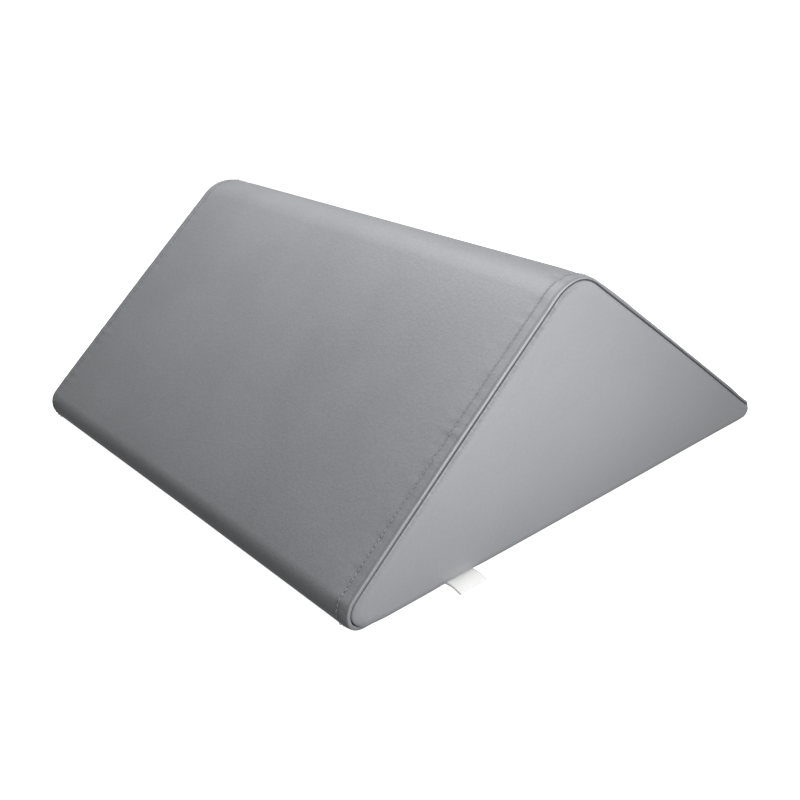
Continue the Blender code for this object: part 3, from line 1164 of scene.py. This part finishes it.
def tag_grid(form, tag):
    """The folded ribbon's outer and inner faces, as loops of points across its columns."""
    rows = np.array([(form.seam_length / 2 + row.run * MM, row.height * MM) for row in TAG_LINE])
    knots = np.concatenate([[0.0], np.cumsum(np.hypot(*np.diff(rows, axis=0).T))])
    line = spline(knots, rows, np.linspace(0.0, knots[-1], TAG_ROWS))
    direction = np.gradient(line, axis=0)
    direction /= np.linalg.norm(direction, axis=1)[:, None]
    upward = np.column_stack([-direction[:, 1], direction[:, 0]])
    loops = []
    for reach in (tag.gap / 2 + tag.layer, tag.gap / 2):
        turn = np.linspace(np.pi / 2, -np.pi / 2, TAG_FOLD_ROWS)[1:-1, None]
        fold = line[-1] + reach * (np.cos(turn) * direction[-1] + np.sin(turn) * upward[-1])
        loops.append(np.concatenate([line + reach * upward, fold, (line - reach * upward)[::-1]]))
    return loops


def patch(grid, order):
    """The faces of a grid of points, wound one way or the other."""
    corners = (grid[:-1, :-1], grid[1:, :-1], grid[1:, 1:], grid[:-1, 1:])
    return np.stack(corners[::order], axis=-1).reshape(-1, 4).tolist()


def woven_tag(form, tag):
    """The folded ribbon: two faces joined at its root edges and its sides."""
    outer, inner = tag_grid(form, tag)
    spread = np.linspace(-1.0, 1.0, TAG_COLUMNS)
    across = tag.middle + spread * tag.width / 2
    count = len(outer)
    middle = (outer + inner) / 2
    points = []
    for place, y in zip(spread, across):
        thin = 1.0 - TAG_THINNING * abs(place) ** 24
        droop = TAG_DROOP * place**4 * np.linspace(0.0, 1.0, count // 2 + 1)
        droop = np.concatenate([droop, droop[::-1]])[:count]
        for face in (outer, inner):
            ring = middle + (face - middle) * thin
            points.append(np.column_stack([ring[:, 0], np.full(count, y), ring[:, 1] - droop]))
    points = np.array(points)
    points[..., 2] = np.maximum(points[..., 2], TAG_LOWEST)
    lengths = np.linspace(0.0, 1.0, count) * 2 * abs(outer[0, 0] - outer[:, 0].max())
    grid = np.arange(TAG_COLUMNS * 2 * count).reshape(TAG_COLUMNS, 2, count)
    faces = patch(grid[:, 0], 1) + patch(grid[:, 1], -1)
    faces += patch(grid[:, :, 0].T, 1) + patch(grid[:, :, -1].T, -1)
    faces += patch(grid[0].T, 1) + patch(grid[-1].T, -1)
    mesh = bpy.data.meshes.new("woven_tag")
    mesh.from_pydata(points.reshape(-1, 3).tolist(), [], faces)
    layer = mesh.uv_layers.new(name="Cover")
    corners = np.array(faces).ravel()
    u = points.reshape(-1, 3)[corners, 1] - across[0]
    v = lengths[corners % count]
    layer.data.foreach_set("uv", np.column_stack([u, v]).ravel())
    mesh.shade_smooth()
    mesh.set_sharp_from_angle(angle=math.radians(50))
    piece = show("woven_tag", mesh, ribbon_material(tag))
    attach(piece, BODY)
    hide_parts("label")
    return piece


# Stage

def softbox(box, power):
    light = bpy.data.lights.new(box.name, "AREA")
    light.size = box.size
    light.energy = box.watts * power
    lamp = show(box.name, light)
    lamp.location = box.place
    lamp.visible_camera = False
    lamp.rotation_mode = "QUATERNION"
    lamp.rotation_quaternion = (Vector(box.aim) - Vector(box.place)).to_track_quat("-Z", "Y")


def studio_camera(stage):
    """A camera from its turn, height and roll round the point at the picture's middle."""
    camera = show("studio_camera", bpy.data.cameras.new("studio_camera"))
    camera.data.lens = stage.lens
    camera.data.sensor_width = 36.0
    camera.data.clip_start = 0.05
    camera.matrix_world = (
        Matrix.Translation(stage.target)
        @ Matrix.Rotation(stage.azimuth, 4, "Z")
        @ Matrix.Rotation(math.pi / 2 - stage.elevation, 4, "X")
        @ Matrix.Rotation(stage.roll, 4, "Z")
        @ Matrix.Translation((0.0, 0.0, stage.distance))
    )
    bpy.context.scene.camera = camera


def studio_floor(stage):
    half = 8.0
    mesh = bpy.data.meshes.new("studio_floor")
    mesh.from_pydata(
        [(-half, -half, 0.0), (half, -half, 0.0), (half, half, 0.0), (-half, half, 0.0)], [],
        [(0, 1, 2, 3)],
    )
    material, _, shader = new_material(
        "pale_floor", tuple(stage.floor_colour), 0.9, Emission_Strength=stage.floor_glow
    )
    shader.inputs["Emission Color"].default_value = WHITE
    floor = show("studio_floor", mesh, material)
    floor.visible_diffuse = False
    floor.visible_glossy = False


def studio_room(stage):
    """Light from all round, with a plain white background."""
    world = bpy.data.worlds.new("studio_room")
    bpy.context.scene.world = world
    world.use_nodes = True
    graph = Graph(world.node_tree)
    ground = world.node_tree.nodes["Background"]
    ground.inputs["Strength"].default_value = stage.room_light
    ground.inputs["Color"].default_value = WHITE
    white = graph.node("ShaderNodeBackground", {"Color": WHITE})
    seen = graph.node("ShaderNodeLightPath")
    lit = Signal(graph, ground.outputs[0])
    mixed = graph.node("ShaderNodeMixShader", {0: seen, 1: lit, 2: white})
    graph.link(world.node_tree.nodes["World Output"], Surface=mixed)


class BOLSTER_OT_fill(Operator):
    """Swell the cover with its filling, by cloth simulation"""

    bl_idname = "bolster.fill"
    bl_label = "Fill the cover"

    def execute(self, context):
        form = context.scene.bolster_form
        swell.update(simulate_swell(form))
        return {"FINISHED"}


class BOLSTER_OT_wrap(Operator):
    """Sew the wrap round the slants and the base"""

    bl_idname = "bolster.wrap"
    bl_label = "Wrap cover"

    def execute(self, context):
        scene = context.scene
        wrap_cover(scene.bolster_form, scene.bolster_cover, scene.bolster_stitching)
        return {"FINISHED"}


class BOLSTER_OT_ends(Operator):
    """Close both ends with their crowned panels"""

    bl_idname = "bolster.ends"
    bl_label = "End panels"

    def execute(self, context):
        form, cover = context.scene.bolster_form, context.scene.bolster_cover
        colour = tuple(cover.panel_colour)
        material = leather(
            "panel_leather_painted_shade", colour, cover, 0.45,
            lambda graph, base, normal: panel_seams_and_painted_shade(graph, base, normal, colour, form),
        )
        end_cover("end_cover_near", "end_panel_near", form, cover, 1, material)
        end_cover("end_cover_far", "end_panel_far", form, cover, -1, material)
        return {"FINISHED"}


class BOLSTER_OT_stitches(Operator):
    """Topstitch the folds at both ends"""

    bl_idname = "bolster.stitches"
    bl_label = "Topstitching"

    def execute(self, context):
        form, stitching = context.scene.bolster_form, context.scene.bolster_stitching
        material = thread_material(stitching)
        tree = stitch_tree(material)
        for name, side in (("topstitching_near", 1), ("topstitching_far", -1)):
            topstitching(name, form, stitching, side, tree, material)
        return {"FINISHED"}


class BOLSTER_OT_tag(Operator):
    """Sew in the blank folded tag"""

    bl_idname = "bolster.tag"
    bl_label = "Woven tag"

    def execute(self, context):
        woven_tag(context.scene.bolster_form, context.scene.bolster_tag)
        return {"FINISHED"}


class BOLSTER_OT_stage(Operator):
    """Set up the camera, the floor and the studio light"""

    bl_idname = "bolster.stage"
    bl_label = "Studio"

    def execute(self, context):
        stage = context.scene.bolster_stage
        studio_camera(stage)
        studio_floor(stage)
        studio_room(stage)
        for box in SOFTBOXES:
            softbox(box, stage.power)
        context.scene.view_settings.view_transform = "Standard"
        return {"FINISHED"}


OPERATORS = (
    BOLSTER_OT_stage,
    BOLSTER_OT_fill,
    BOLSTER_OT_wrap,
    BOLSTER_OT_ends,
    BOLSTER_OT_stitches,
    BOLSTER_OT_tag,
)


class BOLSTER_PT_panel(Panel):
    """The bolster's operators and sizes"""

    bl_label = "Triangle bolster"
    bl_idname = "BOLSTER_PT_panel"
    bl_space_type = "VIEW_3D"
    bl_region_type = "UI"
    bl_category = "Bolster"

    def draw(self, context):
        for operator in OPERATORS:
            self.layout.operator(operator.bl_idname)
        for name, group in GROUPS.items():
            column = self.layout.box().column()
            for key in group.__annotations__:
                column.prop(getattr(context.scene, name), key)


CLASSES = (*GROUPS.values(), *OPERATORS, BOLSTER_PT_panel)


def register():
    for item in CLASSES:
        bpy.utils.register_class(item)
    for name, group in GROUPS.items():
        setattr(bpy.types.Scene, name, PointerProperty(type=group))


def unregister():
    for name in GROUPS:
        delattr(bpy.types.Scene, name)
    for item in reversed(CLASSES):
        bpy.utils.unregister_class(item)


def main():
    register()
    bpy.ops.bolster.stage()
    bpy.ops.bolster.fill()
    bpy.ops.bolster.wrap()
    bpy.ops.bolster.ends()
    bpy.ops.bolster.stitches()
    bpy.ops.bolster.tag()


if __name__ == "__main__":
    main()
